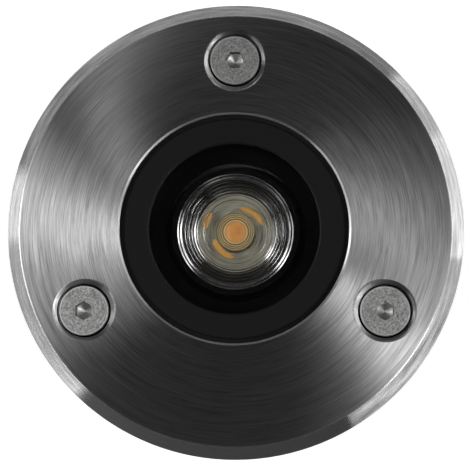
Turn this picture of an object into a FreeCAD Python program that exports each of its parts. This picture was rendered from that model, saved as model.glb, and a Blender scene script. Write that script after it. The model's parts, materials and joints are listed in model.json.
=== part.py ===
import FreeCAD, Part
import math
import os
import re

import Sketcher
from FreeCAD import Placement, Rotation, Vector

# An in ground well light. The origin is on its axis at ground level, where the
# underside of the trim's rim rests. +Z is up, towards the light's face.

# Driving dimensions in millimetres and degrees: alias, value, what it is.
SIZES = {
    # trim ring
    "rim_overhang": (7, "trim ring beyond the barrel"),
    "rim_height": (0.8, "upright edge of the trim"),
    "edge_bevel": (3.1, "width of the bevel round the face"),
    "face_edge_height": (3.0, "height of the face at its edge"),
    "aperture_radius": (27.5, "light opening of the trim"),
    "aperture_height": (4.6, "height of the face at the opening"),
    "aperture_bevel": (0.5, "bevel round the opening"),
    "lip_height": (2.8, "underside of the lip round the opening"),
    "trim_sink": (2.0, "how far the trim reaches below ground level"),
    # trim screws
    "screw_angle_top": (90, "place of the first trim screw"),
    "screw_angle_left": (208.7, "place of the second trim screw"),
    "screw_angle_right": (331.3, "place of the third trim screw"),
    "socket_turn_top": (0, "turn of the first screw's hexagon"),
    "socket_turn_left": (30, "turn of the second screw's hexagon"),
    "socket_turn_right": (30, "turn of the third screw's hexagon"),
    "head_radius": (6.0, "trim screw head"),
    "head_land": (0.6, "upright edge of the trim screw head"),
    "head_top": (2.95, "height of the trim screw heads"),
    "socket_flats": (4.0, "hex socket across its flats"),
    "socket_depth": (2.6, "depth of the hex socket"),
    "screw_radius": (3.0, "M6 trim screw"),
    "screw_length": (16, "trim screw, over its head"),
    "screw_end_play": (1.0, "hole beyond the end of a trim screw"),
    "tip_bevel": (0.6, "bevel at the tip of a trim screw"),
    "edge_break": (0.2, "small bevel of heads, lens and board parts"),
    "drill_play": (0.1, "drill point inside the flats of its socket"),
    "seat_cone": (3.0, "height of the cone under a trim screw's head"),
    "well_gap": (0.55, "round a trim screw head in its well"),
    "well_floor": (1.2, "height of the well's floor"),
    "well_bevel": (0.85, "bevel of the well on the face"),
    "well_wall": (0.4, "between a well and the recess of the glass"),
    "screw_clearance": (0.3, "round the trim screws in the trim"),
    "insert_radius": (4.0, "threaded insert"),
    "insert_length": (12, "threaded insert"),
    # glass and what clamps it
    "bezel_width": (6.0, "width of the black ring's raised collar"),
    "bezel_gap": (1.0, "between that collar and the trim"),
    "bezel_top": (3.9, "height of the collar"),
    "bezel_bevel": (0.35, "bevel of the collar's edges"),
    "bezel_flange": (0.8, "thickness of the black ring's flange"),
    "upper_gasket": (0.6, "gasket over the glass"),
    "gasket_inset": (0.7, "upper gasket out from the collar"),
    "lip_width": (5.4, "lip of the trim over the glass"),
    "glass_thick": (4.0, "cover glass"),
    "glass_bevel": (0.5, "bevel of the glass edges"),
    "lower_gasket": (1.0, "gasket under the glass"),
    "gasket_wall": (0.8, "the lower gasket's wall round the glass"),
    "seat_play": (0.1, "clearance round glass and gaskets"),
    # housing
    "barrel_wall": (1.5, "housing wall between its ribs"),
    "rib_stand": (1.5, "height of the ribs over the wall"),
    "rib_width": (2.4, "one cooling rib"),
    "rib_count": (24, "cooling ribs"),
    "rib_inset": (0.05, "ribs in from the collars"),
    "merge": (0.5, "how far a rib or boss reaches into what it stands on"),
    "top_collar": (14, "plain collar under the trim"),
    "bottom_collar": (6, "plain collar above the base cap"),
    "housing_depth": (84, "underside of the housing below ground level"),
    "ledge_width": (3.4, "ledge under the glass"),
    "ledge_thick": (3.0, "ledge that carries the glass"),
    "boss_radius": (5.2, "boss of a trim screw"),
    "boss_wall": (1.3, "between the bosses and what lies inside them"),
    "boss_depth": (27, "end of the bosses below ground level"),
    # bearing plate and turntable
    "plate_thick": (2.0, "bearing plate"),
    "plate_arm": (3.9, "half the width of the plate's arms"),
    "arm_play": (0.1, "between the plate's arms and the housing"),
    "plate_step": (2.4, "plate's hole beyond the turntable's hole"),
    "plate_screw_depth": (8, "plate screws in their bosses"),
    "arm_root": (2.0, "arms of the plate inside its edge"),
    "thread_play": (0.5, "hole beyond the end of a plate screw"),
    "slip_thick": (0.5, "slip washer"),
    "slip_inset": (0.5, "slip washer out from the plate's hole"),
    "slip_margin": (0.2, "slip washer in from the turntable's edge"),
    "run_gap": (0.05, "running clearance"),
    "turntable_gap": (3.0, "round the lamp in the turntable"),
    "turntable_rim": (7.0, "turntable beyond its ears"),
    "turntable_thick": (2.0, "turntable"),
    "keeper_gap": (0.3, "round the turntable in the keeper ring"),
    "keeper_lift": (0.1, "over the turntable under the keeper ring"),
    "keeper_lip": (1.0, "lip of the keeper ring"),
    "keeper_wall": (4.7, "wall of the keeper ring"),
    "keeper_hold": (3.1, "keeper ring over the turntable"),
    "lock_inset": (1.5, "pan lock screw in from the turntable's edge"),
    "lock_head": (2.25, "head of the pan lock screw"),
    "lock_rise": (2.4, "head of the pan lock screw"),
    "lock_stand": (1.0, "head of the pan lock screw over the keeper ring"),
    "lock_play": (0.03, "under the pan lock screw"),
    "ear_step": (0.4, "ears back from the turntable's hole"),
    "ear_thick": (3.5, "ear of the turntable"),
    "ear_half_width": (5, "ear of the turntable"),
    "ear_rise": (5, "ear over the tilt axis"),
    "baffle_thick": (1.0, "black baffle"),
    "baffle_gap": (1.6, "round the lamp in the baffle"),
    "baffle_screw": (1.0, "M2 screws of the baffle"),
    "baffle_head": (1.9, "head of the baffle screws"),
    "baffle_rise": (1.2, "head of the baffle screws"),
    "baffle_hold": (3.0, "holes for the baffle screws in the ears"),
    "plate_inset": (1.5, "baffle and driver board in from the plate's edge"),
    # lamp
    "pivot_depth": (14, "tilt axis below ground level"),
    "lens_gap": (2.3, "between glass and lens"),
    "lens_radius": (14.25, "lens"),
    "lens_flange": (1.5, "flange of the lens"),
    "lens_height": (13, "lens"),
    "lens_foot": (5.5, "foot of the lens on its board"),
    "lens_window": (9.6, "sunk window in the lens"),
    "lens_pocket": (4.2, "pocket of the lens over the light source"),
    "window_sink": (1.6, "edge of the window under the lens's top"),
    "window_crown": (0.4, "rise of the window to its middle"),
    "window_slope": (0.4, "width of the slope round the window"),
    "step_sink": (0.9, "inner edge of the dished step under the lens's top"),
    "ridge_sink": (0.3, "ridge round the dished step under the lens's top"),
    "ridge_inset": (2.3, "ridge in from the lens's edge"),
    "ridge_width": (0.5, "ridge"),
    "groove_sink": (0.7, "groove inside the lens's rim"),
    "groove_inset": (1.5, "groove in from the lens's edge"),
    "groove_floor": (0.4, "width of that groove"),
    "lens_rim": (0.9, "rim of the lens"),
    "cone_inset": (1.1, "cone of the lens in from its flange"),
    "pocket_flare": (0.8, "mouth of the pocket beyond its wall"),
    "pocket_lip": (0.6, "top of the mouth beyond the pocket's wall"),
    "pocket_clear": (0.4, "mouth of the pocket over the light source"),
    "pocket_wall": (5.0, "wall of the pocket"),
    "pocket_shoulder": (5.65, "shoulder of the pocket's roof"),
    "pocket_roof": (5.91, "middle of the pocket's roof"),
    "cup_lip": (0.8, "cup round the lens flange"),
    "cup_wall": (1.25, "lamp cup round the lens flange"),
    "cup_step": (0.95, "step of the cup under the lens flange"),
    "cup_floor": (4.0, "floor of the lamp cup"),
    "cup_boss_radius": (4.0, "boss of a tilt pivot"),
    "pivot_play": (0.1, "between ears and pivot washers"),
    "pivot_radius": (1.5, "M3 tilt pivot"),
    "pivot_head": (2.75, "head of a tilt pivot"),
    "pivot_hold": (3.5, "thread of a tilt pivot in its boss"),
    "pivot_rise": (2.0, "head of a tilt pivot"),
    "pivot_socket": (2.0, "socket of a tilt pivot across its flats"),
    "pivot_socket_depth": (1.2, "socket of a tilt pivot"),
    "boss_root": (1.0, "boss of a tilt pivot outside the cup's bore"),
    "washer_thick": (0.5, "pivot washer"),
    "board_thick": (1.6, "circuit boards"),
    "lamp_screw_circle": (9.5, "screws through the light source's board"),
    "lamp_screw_rise": (1.3, "head of those screws"),
    "small_screw": (1.25, "M2.5 screws"),
    "small_head": (2.125, "head of the M2.5 screws"),
    "small_rise": (1.5, "head of the M2.5 screws"),
    "small_play": (0.15, "round the M2.5 screws in what they clamp"),
    "small_end": (0.3, "lamp screws short of the heat sink's groove"),
    "pad_thick": (0.4, "thermal pad"),
    "pad_inset": (0.5, "thermal pad in from the heat sink's edge"),
    "sink_inset": (0.4, "heat sink in from the lamp cup"),
    "sink_core": (7.0, "core of the heat sink"),
    "sink_height": (20, "heat sink"),
    "sink_plate": (3.6, "top of the heat sink"),
    "sink_fin": (1.6, "fin of the heat sink"),
    "lead_bore": (2.4, "hole for the leads"),
    "lead_radius": (0.7, "one lead"),
    "lead_side": (1.1, "each lead beside the axis"),
    "package_diagonal": (9, "square base of the light source, corner to corner"),
    "package_thick": (0.8, "base of the light source"),
    "phosphor_radius": (3.0, "amber disc of the light source"),
    "phosphor_rise": (0.5, "amber disc over its base"),
    # driver
    "standoff_length": (22, "between bearing plate and driver board"),
    "standoff_inset": (6.5, "standoffs in from the plate's edge"),
    "standoff_flats": (5.5, "standoff across its flats"),
    "standoff_thread": (6.0, "threaded hole of a standoff"),
    "driver_screw": (5.0, "driver screws in their standoffs"),
    "driver_screw_rise": (2.0, "head of the driver screws"),
    "inductor_x": (-13, "place of the inductor"),
    "inductor_y": (-9, "place of the inductor"),
    "inductor_radius": (7.0, "inductor"),
    "inductor_height": (9.0, "inductor"),
    "inductor_flange": (1.5, "flanges of the inductor"),
    "winding_depth": (1.4, "winding inside the inductor's flanges"),
    "first_capacitor_x": (9, "place of the first capacitor"),
    "first_capacitor_y": (-12, "place of the first capacitor"),
    "second_capacitor_x": (19, "place of the second capacitor"),
    "second_capacitor_y": (-8, "place of the second capacitor"),
    "capacitor_radius": (4.0, "capacitors"),
    "capacitor_height": (11.5, "capacitors"),
    "capacitor_bead": (1.2, "bead of the capacitors from the board"),
    "chip_x": (12, "place of the chip"),
    "chip_y": (6, "place of the chip"),
    "chip_long": (6, "chip"),
    "chip_wide": (5, "chip"),
    "chip_deep": (1.6, "chip"),
    "block_x": (-6, "place of the terminal block"),
    "block_y": (17, "place of the terminal block"),
    "block_long": (15, "terminal block"),
    "block_wide": (9, "terminal block"),
    "block_deep": (10, "terminal block"),
    "block_pitch": (7.5, "between the ways of the terminal block"),
    "block_well": (2.0, "screw wells of the terminal block"),
    "block_well_depth": (5.0, "screw wells of the terminal block"),
    "socket_height": (4.0, "socket of the leads"),
    "socket_radius": (3.5, "socket of the leads"),
    # base
    "cap_plate": (4.0, "floor of the base cap"),
    "skirt_wall": (3.5, "skirt of the base cap"),
    "skirt_height": (20, "skirt below the floor of the base cap"),
    "spigot_rise": (4.5, "spigot of the base cap inside the housing"),
    "spigot_wall": (2.8, "spigot of the base cap"),
    "spigot_play": (0.2, "between spigot and housing"),
    "groove_depth": (1.2, "groove of the o-ring"),
    "groove_width": (2.0, "groove of the o-ring"),
    "o_ring_play": (0.02, "round the o-ring in its groove"),
    "notch_width": (12, "drain notches in the skirt"),
    "notch_height": (6, "drain notches in the skirt"),
    "lug_inset": (4.8, "screws of the base cap in from the housing's wall"),
    "lug_radius": (5.2, "lugs in the housing for those screws"),
    "lug_height": (13, "lugs in the housing"),
    "lug_roof": (3.0, "lug over its screw hole"),
    "lug_lift": (5.0, "pillars of the cap under the lugs"),
    "pillar_radius": (3.3, "pillars of the cap"),
    "pillar_root": (1.0, "pillars inside the cap's floor"),
    "cap_screw": (2.0, "M4 screws"),
    "cap_screw_head": (3.5, "head of the M4 screws"),
    "cap_screw_rise": (2.6, "head of the M4 screws"),
    "cap_screw_hold": (7.0, "base cap screws in their lugs"),
    "hole_play": (0.2, "round the M4 screws in what they clamp"),
    # cable gland and breather
    "gland_radius": (8.0, "M16 thread of the gland"),
    "gland_flats": (22, "hexagons of the gland"),
    "gland_bore": (5.0, "bore of the gland body"),
    "gland_rise": (10, "thread above the underside of the cap's floor"),
    "gland_washer": (1.0, "washer of the gland"),
    "gland_flange": (4.0, "hexagon of the gland body"),
    "gland_neck": (4.0, "thread below the gland's hexagon"),
    "gland_slot": (0.4, "between the gland's hexagon and its dome nut"),
    "cable_radius": (3.5, "cable that the gland takes"),
    "seal_radius": (6.4, "seal in the gland"),
    "seal_length": (8.5, "seal in the gland"),
    "seal_sink": (3.0, "seal inside the gland body"),
    "dome_floor": (1.6, "end of the dome nut"),
    "mouth_play": (0.8, "round the cable in the dome nut"),
    "lock_nut": (4.0, "lock nut of the gland"),
    "vent_offset": (27, "breather plug from the axis"),
    "vent_radius": (4.0, "thread of the breather plug"),
    "vent_flats": (13, "hexagon of the breather plug"),
    "vent_rise": (3.0, "hexagon of the breather plug"),
    "vent_seal": (0.5, "seal of the breather plug"),
    "vent_stand": (2.0, "thread of the breather plug inside the light"),
    "vent_bore": (1.0, "hole of the breather plug"),
}

FIN_COUNT = 4
LEAST_CHANGE = 1e-3
TRIM_ANGLES = ["screw_angle_top", "screw_angle_left", "screw_angle_right"]
TRIM_TURNS = ["socket_turn_top", "socket_turn_left", "socket_turn_right"]
THREE_ANGLES = ["30", "150", "270"]
OTHER_ANGLES = ["90", "210", "330"]

# Levels, from the face down. Each is worked out from the sizes.
TRIM_UNDER = "(-trim_sink)"
BEZEL_UNDER = "(lip_height - bezel_flange)"
GLASS_TOP = f"({BEZEL_UNDER} - upper_gasket)"
GLASS_UNDER = f"({GLASS_TOP} - glass_thick)"
LEDGE = f"({GLASS_UNDER} - lower_gasket)"
LEDGE_UNDER = f"({LEDGE} - ledge_thick)"
LENS_TOP = f"({GLASS_UNDER} - lens_gap)"
LENS_SEAT = f"({LENS_TOP} - lens_flange)"
BOARD_TOP = f"({LENS_TOP} - lens_height)"
CUP_FLOOR = f"({BOARD_TOP} - board_thick)"
CUP_UNDER = f"({CUP_FLOOR} - cup_floor)"
SINK_TOP = f"({CUP_UNDER} - pad_thick)"
PIVOT = "(-pivot_depth)"
EAR_TOP = f"({PIVOT} + ear_rise)"
PLATE_TOP = "(-boss_depth)"
PLATE_UNDER = f"({PLATE_TOP} - plate_thick)"
TURN_UNDER = f"({PLATE_TOP} + slip_thick + run_gap)"
TURN_TOP = f"({TURN_UNDER} + turntable_thick)"
KEEPER_LIP = f"({TURN_TOP} + keeper_lift)"
KEEPER_TOP = f"({KEEPER_LIP} + keeper_lip)"
DRIVER_TOP = f"({PLATE_UNDER} - standoff_length)"
DRIVER_UNDER = f"({DRIVER_TOP} - board_thick)"
SOCKET_TOP = f"({DRIVER_TOP} + socket_height)"
HOUSING_UNDER = "(-housing_depth)"
CAP_UNDER = f"({HOUSING_UNDER} - cap_plate)"
LUG_UNDER = f"({HOUSING_UNDER} + lug_lift)"
SPIGOT_TOP = f"({HOUSING_UNDER} + spigot_rise)"
FOOT = f"({CAP_UNDER} - skirt_height)"
GLAND_SEAT = f"({CAP_UNDER} - gland_washer)"
GLAND_NECK = f"({GLAND_SEAT} - gland_flange)"
GLAND_END = f"({GLAND_NECK} - gland_neck)"
SEAL_TOP = f"({GLAND_END} + seal_sink)"
SEAL_UNDER = f"({SEAL_TOP} - seal_length)"

# Radii worked out from the sizes: the glass and what surrounds it.
GLASS = "(aperture_radius + lip_width)"
RECESS = f"({GLASS} + gasket_wall + 3 * seat_play)"
WEB = f"({RECESS} - seat_play)"
LEDGE_BORE = f"({GLASS} - ledge_width)"
COLLAR = "(aperture_radius - bezel_gap)"
BEZEL = f"({COLLAR} - bezel_width)"

# The lamp and what it turns in.
CUP_SEAT = "(lens_radius + seat_play)"
CUP_BORE = f"({CUP_SEAT} - cup_step)"
CUP = f"({CUP_SEAT} + cup_wall)"
SINK = f"({CUP} - sink_inset)"
BAFFLE_BORE = f"({CUP} + baffle_gap)"
TURN_BORE = f"({CUP} + turntable_gap)"
EAR_REACH = f"({TURN_BORE} + ear_step)"
BOSS_REACH = f"({EAR_REACH} - pivot_play - washer_thick)"
TURN = f"({EAR_REACH} + ear_thick + turntable_rim)"
KEEPER_WALL = f"({TURN} + keeper_gap)"
KEEPER_BORE = f"({TURN} - keeper_hold)"
LOCK_CIRCLE = f"({TURN} - lock_inset)"
PLATE = f"({KEEPER_WALL} + keeper_wall)"
PLATE_BORE = f"({TURN_BORE} + plate_step)"
DRIVER = f"({PLATE} - plate_inset)"
STANDOFF_CIRCLE = f"({PLATE} - standoff_inset)"

# The trim screws stand clear of the glass's recess and of the bearing plate. The
# barrel lies round their bosses, and the face round the barrel.
WELL = "(head_radius + well_gap)"
BOSS_CIRCLE = f"(max({RECESS}; {PLATE}) + boss_wall + boss_radius)"
SCREW_CIRCLE = f"max({BOSS_CIRCLE}; {RECESS} + well_wall + {WELL})"
INNER = f"({SCREW_CIRCLE} + plate_arm + arm_play)"
BARREL = f"({INNER} + barrel_wall + rib_stand)"
FACE = f"({BARREL} + rim_overhang)"
FACE_EDGE = f"({FACE} - edge_bevel)"
CAP_CIRCLE = f"({INNER} - lug_inset)"
LAMP_SCREW_ANGLES = ["90", "270"]

doc = FreeCAD.newDocument("well_light")
subparts = []


def fill_sheet():
    sheet = doc.addObject("Spreadsheet::Sheet", "Sizes")
    for row, (alias, (value, meaning)) in enumerate(SIZES.items(), start=1):
        sheet.set(f"A{row}", alias)
        sheet.set(f"B{row}", str(value))
        sheet.set(f"C{row}", meaning)
        sheet.setAlias(f"B{row}", alias)
    doc.recompute()


def bound(text):
    """The same expression with each size read from the sheet."""
    return re.sub(r"[a-z_]+", lambda m: "Sizes." + m[0] if m[0] in SIZES else m[0], text)


def polar(radius, angles):
    return [(f"({radius}) * cos({angle})", f"({radius}) * sin({angle})") for angle in angles]


def hexagon(flats, x="0", y="0"):
    corner = f"({flats}) / 2 / cos(30)"
    return [(f"{x} + {corner} * cos({60 * k})", f"{y} + {corner} * sin({60 * k})") for k in range(6)]


def rectangle(x_low, x_high, y_low, y_high):
    return [(x_low, y_low), (x_high, y_low), (x_high, y_high), (x_low, y_high)]


def new_body(label):
    body = doc.addObject("PartDesign::Body", label)
    body.Label = label
    return body


def new_sketch(body, name, plane, level):
    sketch = body.newObject("Sketcher::SketchObject", f"{body.Name}_{name}")
    origin_plane = [f for f in body.Origin.OriginFeatures if f.Role == plane][0]
    sketch.AttachmentSupport = [(origin_plane, "")]
    sketch.MapMode = "FlatFace"
    sketch.setExpression("AttachmentOffset.Base.z", bound(level))
    return sketch


def bind_point(sketch, geometry, position, x, y):
    for kind, value in (("DistanceX", x), ("DistanceY", y)):
        index = sketch.addConstraint(Sketcher.Constraint(kind, -1, 1, geometry, position, 1.0))
        name = f"{kind}_{geometry}"
        sketch.renameConstraint(index, name)
        sketch.setExpression(f"Constraints.{name}", bound(value))


def outline(body, name, plane, points, level="0"):
    """A closed outline of straight lines. Its points start on a circle, and the sheet places them."""
    sketch = new_sketch(body, name, plane, level)
    count = len(points)
    turns = [2 * math.pi * k / count for k in range(count)]
    start = [Vector(20 * math.cos(turn), 20 * math.sin(turn), 0) for turn in turns]
    sketch.addGeometry([Part.LineSegment(start[k], start[(k + 1) % count]) for k in range(count)])
    sketch.addConstraint([Sketcher.Constraint("Coincident", k, 2, (k + 1) % count, 1) for k in range(count)])
    for k, (x, y) in enumerate(points):
        bind_point(sketch, k, 1, x, y)
    return sketch


def circles(body, name, plane, centres, radius, level="0"):
    sketch = new_sketch(body, name, plane, level)
    for k, (x, y) in enumerate(centres):
        sketch.addGeometry(Part.Circle(Vector(10 * k, 0, 0), Vector(0, 0, 1), 1))
        bind_point(sketch, k, 3, x, y)
        index = sketch.addConstraint(Sketcher.Constraint("Radius", k, 1.0))
        sketch.renameConstraint(index, f"Radius_{k}")
        sketch.setExpression(f"Constraints.Radius_{k}", bound(radius))
    return sketch


def grow(body, kind, sketch, length):
    """A Pad along the sketch's normal, or a Pocket against it."""
    feature = body.newObject(f"PartDesign::{kind}", f"{sketch.Name}_{kind.lower()}")
    feature.Profile = sketch
    feature.setExpression("Length", bound(length))
    return feature


def pad(body, sketch, length):
    return grow(body, "Pad", sketch, length)


def pocket(body, sketch, length):
    return grow(body, "Pocket", sketch, length)


def turn(body, name, points, kind="Revolution", x="0", y="0"):
    """Turn an outline of radii and heights about the upright axis at x, y."""
    sketch = outline(body, name, "XZ_Plane", points, f"-({y})")
    sketch.setExpression("AttachmentOffset.Base.x", bound(x))
    feature = body.newObject(f"PartDesign::{kind}", f"{sketch.Name}_turned")
    feature.Profile = sketch
    feature.ReferenceAxis = (sketch, ["V_Axis"])
    feature.Angle = 360
    return feature


def turned(label, points):
    body = new_body(label)
    turn(body, "section", points)
    return body


def washer(label, inner, outer, low, high):
    return turned(label, rectangle(inner, outer, low, high))


def pan_screw(label, thread, head, rise, seat, tip, up=True):
    """A screw on its own axis, with its head over its seat, or under it."""
    crown = f"{seat} + {rise}" if up else f"{seat} - ({rise})"
    corner = f"({head}) - 0.3 * ({rise})"
    points = [("0", tip), (thread, tip), (thread, seat), (head, seat)]
    points += [(head, f"({crown} + {seat}) / 2"), (corner, crown), ("0", crown)]
    body = turned(label, points)
    flats = f"({thread}) * 1.3"
    depth = f"({rise}) * 0.55"
    if up:
        pocket(body, outline(body, "socket", "XY_Plane", hexagon(flats), crown), depth)
    else:
        pocket(body, outline(body, "socket", "XY_Plane", hexagon(flats), f"{crown} + {depth}"), depth)
    return body


def drill(body, name, centres, radius, top, bottom):
    pocket(body, circles(body, name, "XY_Plane", centres, radius, top), f"{top} - ({bottom})")


def post(body, name, centres, radius, bottom, top):
    pad(body, circles(body, name, "XY_Plane", centres, radius, bottom), f"{top} - ({bottom})")


def keep(piece):
    subparts.append(piece)
    return piece


def copies(label, form, places):
    """Separate solids of one form: places are x, y and the turn about Z."""
    links = []
    for k, (x, y, angle) in enumerate(places):
        link = doc.addObject("App::Link", f"{label}_{k}")
        link.LinkedObject = form
        link.Placement = Placement(Vector(), Rotation(Vector(0, 0, 1), 1))
        link.setExpression("Placement.Base.x", bound(x))
        link.setExpression("Placement.Base.y", bound(y))
        link.setExpression("Placement.Rotation.Angle", bound(angle))
        links.append(link)
    group = doc.addObject("Part::Compound", label)
    group.Label = label
    group.Links = links
    return keep(group)


def ring_of(label, form, radius, angles):
    return copies(label, form, [(x, y, angle) for (x, y), angle in zip(polar(radius, angles), angles)])


def face_height(radius):
    """Height of the trim's face at a radius: a straight slope between its edge and its opening."""
    run = f"({FACE_EDGE} - aperture_radius - aperture_bevel)"
    rise = "(aperture_height - face_edge_height)"
    return f"(face_edge_height + ({FACE_EDGE} - ({radius})) * {rise} / {run})"


def trim_ring():
    body = turned("trim_ring", [
        ("aperture_radius", "lip_height"),
        ("aperture_radius", "aperture_height - aperture_bevel"),
        ("aperture_radius + aperture_bevel", "aperture_height"),
        (FACE_EDGE, "face_edge_height"),
        (FACE, "rim_height"),
        (FACE, "0"),
        (BARREL, "0"),
        (BARREL, TRIM_UNDER),
        (RECESS, TRIM_UNDER),
        (RECESS, "lip_height"),
    ])
    drill(body, "screw_holes", polar(SCREW_CIRCLE, TRIM_ANGLES), "screw_radius + screw_clearance",
          "aperture_height", TRIM_UNDER)
    face = face_height(SCREW_CIRCLE)
    seat_radius = "(head_radius - head_top + head_land + well_floor)"
    for k, (x, y) in enumerate(polar(SCREW_CIRCLE, TRIM_ANGLES)):
        turn(body, f"well_{k}", [
            ("0", "well_floor - seat_cone"),
            (f"{seat_radius} - seat_cone", "well_floor - seat_cone"),
            (seat_radius, "well_floor"),
            (WELL, "well_floor"),
            (WELL, f"{face} - well_bevel"),
            (f"{WELL} + well_bevel + aperture_height - {face}", "aperture_height"),
            ("0", "aperture_height"),
        ], "Groove", x, y)
    return keep(body)


def trim_screws():
    form = turned("trim_screw_form", [
        ("0", "head_top - screw_length"),
        ("screw_radius - tip_bevel", "head_top - screw_length"),
        ("screw_radius", "head_top - screw_length + tip_bevel"),
        ("screw_radius", "head_top - head_land - head_radius + screw_radius"),
        ("head_radius", "head_top - head_land"),
        ("head_radius", "head_top - edge_break"),
        ("head_radius - edge_break", "head_top"),
        ("0", "head_top"),
    ])
    pocket(form, outline(form, "socket", "XY_Plane", hexagon("socket_flats"), "head_top"), "socket_depth")
    turn(form, "drill_point", [
        ("0", "head_top - socket_depth"),
        ("socket_flats / 2 - drill_play", "head_top - socket_depth"),
        ("0", "head_top - socket_depth - socket_flats / 4"),
    ], "Groove")
    places = zip(polar(SCREW_CIRCLE, TRIM_ANGLES), TRIM_TURNS)
    return copies("trim_screws", form, [(x, y, turned_by) for (x, y), turned_by in places])


def boss_inserts():
    insert_end = f"{TRIM_UNDER} - insert_length"
    form = washer("boss_insert_form", "screw_radius", "insert_radius", insert_end, TRIM_UNDER)
    return ring_of("boss_inserts", form, SCREW_CIRCLE, TRIM_ANGLES)


def glass_stack():
    keep(turned("glare_ring", [
        (BEZEL, f"{BEZEL_UNDER} + bezel_bevel"),
        (BEZEL, "bezel_top - bezel_bevel"),
        (f"{BEZEL} + bezel_bevel", "bezel_top"),
        (f"{COLLAR} - bezel_bevel", "bezel_top"),
        (COLLAR, "bezel_top - bezel_bevel"),
        (COLLAR, "lip_height"),
        (WEB, "lip_height"),
        (WEB, BEZEL_UNDER),
        (f"{BEZEL} + bezel_bevel", BEZEL_UNDER),
    ]))
    keep(washer("upper_gasket", f"{COLLAR} + gasket_inset", WEB, GLASS_TOP, BEZEL_UNDER))
    keep(turned("cover_glass", [
        ("0", GLASS_UNDER),
        (f"{GLASS} - glass_bevel", GLASS_UNDER),
        (GLASS, f"{GLASS_UNDER} + glass_bevel"),
        (GLASS, f"{GLASS_TOP} - glass_bevel"),
        (f"{GLASS} - glass_bevel", GLASS_TOP),
        ("0", GLASS_TOP),
    ]))
    keep(turned("lower_gasket", [
        (LEDGE_BORE, LEDGE),
        (WEB, LEDGE),
        (WEB, f"{GLASS_TOP} - glass_bevel"),
        (f"{WEB} - gasket_wall", f"{GLASS_TOP} - glass_bevel"),
        (f"{WEB} - gasket_wall", GLASS_UNDER),
        (LEDGE_BORE, GLASS_UNDER),
    ]))


def housing():
    root = f"({BARREL} - rib_stand)"
    collar_under = f"({TRIM_UNDER} - top_collar)"
    collar_top = f"({HOUSING_UNDER} + bottom_collar)"
    body = turned("housing", [
        (LEDGE_BORE, LEDGE),
        (RECESS, LEDGE),
        (RECESS, TRIM_UNDER),
        (BARREL, TRIM_UNDER),
        (BARREL, collar_under),
        (root, f"{collar_under} - rib_stand"),
        (root, f"{collar_top} + rib_stand"),
        (BARREL, collar_top),
        (BARREL, HOUSING_UNDER),
        (INNER, HOUSING_UNDER),
        (INNER, LEDGE_UNDER),
        (LEDGE_BORE, LEDGE_UNDER),
    ])
    rib = rectangle(f"{root} - merge", f"{BARREL} - rib_inset", "-rib_width / 2", "rib_width / 2")
    ribs = pad(body, outline(body, "rib", "XY_Plane", rib, collar_top), f"{collar_under} - {collar_top}")
    pattern = body.newObject("PartDesign::PolarPattern", "housing_ribs")
    pattern.Originals = [ribs]
    pattern.Axis = (ribs.Profile[0], ["N_Axis"])
    pattern.Angle = 360
    pattern.setExpression("Occurrences", bound("rib_count"))
    body.Tip = pattern
    trim_places = polar(SCREW_CIRCLE, TRIM_ANGLES)
    cap_places = polar(CAP_CIRCLE, THREE_ANGLES)
    post(body, "bosses", trim_places, "boss_radius", PLATE_TOP, f"{LEDGE_UNDER} + merge")
    post(body, "lugs", cap_places, "lug_radius", LUG_UNDER, f"{LUG_UNDER} + lug_height")
    insert_end = f"{TRIM_UNDER} - insert_length"
    screw_end = "head_top - screw_length - screw_end_play"
    drill(body, "insert_holes", trim_places, "insert_radius", TRIM_UNDER, insert_end)
    drill(body, "screw_ends", trim_places, "screw_radius", insert_end, screw_end)
    drill(body, "plate_holes", trim_places, "cap_screw", f"{PLATE_TOP} + plate_screw_depth", PLATE_TOP)
    drill(body, "cap_holes", cap_places, "cap_screw", f"{LUG_UNDER} + lug_height - lug_roof", LUG_UNDER)
    return keep(body)


def bearing_plate():
    body = washer("bearing_plate", PLATE_BORE, PLATE, PLATE_UNDER, PLATE_TOP)
    places = polar(SCREW_CIRCLE, TRIM_ANGLES)
    root = f"{PLATE} - arm_root"
    for k, angle in enumerate(TRIM_ANGLES):
        arm = []
        for radius, side in ((root, 1), (SCREW_CIRCLE, 1), (SCREW_CIRCLE, -1), (root, -1)):
            x = f"({radius}) * cos({angle}) - {side} * plate_arm * sin({angle})"
            y = f"({radius}) * sin({angle}) + {side} * plate_arm * cos({angle})"
            arm.append((x, y))
        pad(body, outline(body, f"arm_{k}", "XY_Plane", arm, PLATE_UNDER), "plate_thick")
    post(body, "arm_ends", places, "plate_arm", PLATE_UNDER, PLATE_TOP)
    drill(body, "boss_holes", places, "cap_screw + hole_play", PLATE_TOP, PLATE_UNDER)
    standoff_places = polar(STANDOFF_CIRCLE, THREE_ANGLES)
    drill(body, "standoff_holes", standoff_places, "pivot_radius", PLATE_TOP, PLATE_UNDER)
    keeper_places = polar(f"({KEEPER_WALL} + {PLATE}) / 2", OTHER_ANGLES)
    drill(body, "keeper_holes", keeper_places, "small_screw", PLATE_TOP, PLATE_UNDER)
    keep(body)
    form = pan_screw("plate_screw_form", "cap_screw", "cap_screw_head", "cap_screw_rise", PLATE_UNDER,
                     f"{PLATE_TOP} + plate_screw_depth - thread_play", up=False)
    ring_of("plate_screws", form, SCREW_CIRCLE, TRIM_ANGLES)


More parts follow.
